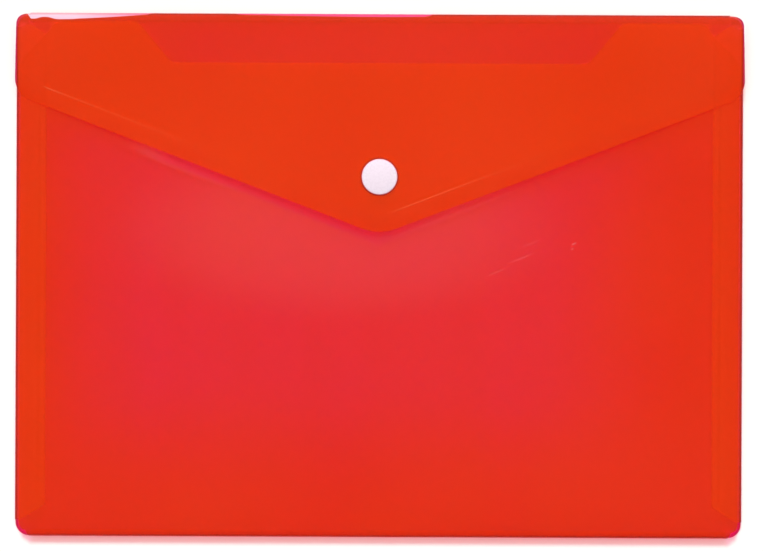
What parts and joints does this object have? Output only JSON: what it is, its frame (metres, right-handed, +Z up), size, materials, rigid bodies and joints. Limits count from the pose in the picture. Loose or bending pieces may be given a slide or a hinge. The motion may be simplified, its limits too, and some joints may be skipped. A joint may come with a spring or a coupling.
{
  "type": "document wallet",
  "caption": "Landscape document wallet of translucent red plastic sheet: a welded pocket with a thumb cut and a pointed flap that folds over and is held by a white popper.",
  "frame": {"origin": "middle of the back, on the surface that the closed wallet lies on", "axes": "+X across the wallet, +Y towards the top fold, +Z up through the flap and the popper's cap"},
  "size_m": [0.3356, 0.241, 0.0105],
  "materials": {
    "red_sheet": "satin translucent film",
    "white_popper": "gloss"
  },
  "bodies": {
    "pocket": {"back_panel": "red_sheet", "bottom_fold": "red_sheet", "front_panel": "red_sheet", "left_side_fold": "red_sheet", "right_side_fold": "red_sheet", "left_side_tab": "red_sheet", "right_side_tab": "red_sheet", "left_weld_spots": "red_sheet", "right_weld_spots": "red_sheet", "lower_crease": "red_sheet", "popper_stud": "white_popper", "popper_inner_cap": "white_popper"},
    "spine": {"top_spine": "red_sheet", "upper_crease": "red_sheet"},
    "flap": {"closing_flap": "red_sheet", "popper_cap": "white_popper", "popper_socket": "white_popper"}
  },
  "joints": [
    {"name": "spine_crease", "type": "hinge", "parent": "pocket", "child": "spine", "pos_m": [0, 0.12035, 0.00015], "axis": [-1, 0, 0], "range_deg": [0, 89.25]},
    {"name": "flap_crease", "type": "hinge", "parent": "spine", "child": "flap", "pos_m": [0, 0.12035, 0.00875], "axis": [-1, 0, 0], "range_deg": [0, 89.25]}
  ],
  "couplings": [
    {"joint": "flap_crease", "follows": "spine_crease", "ratio": 1}
  ]
}
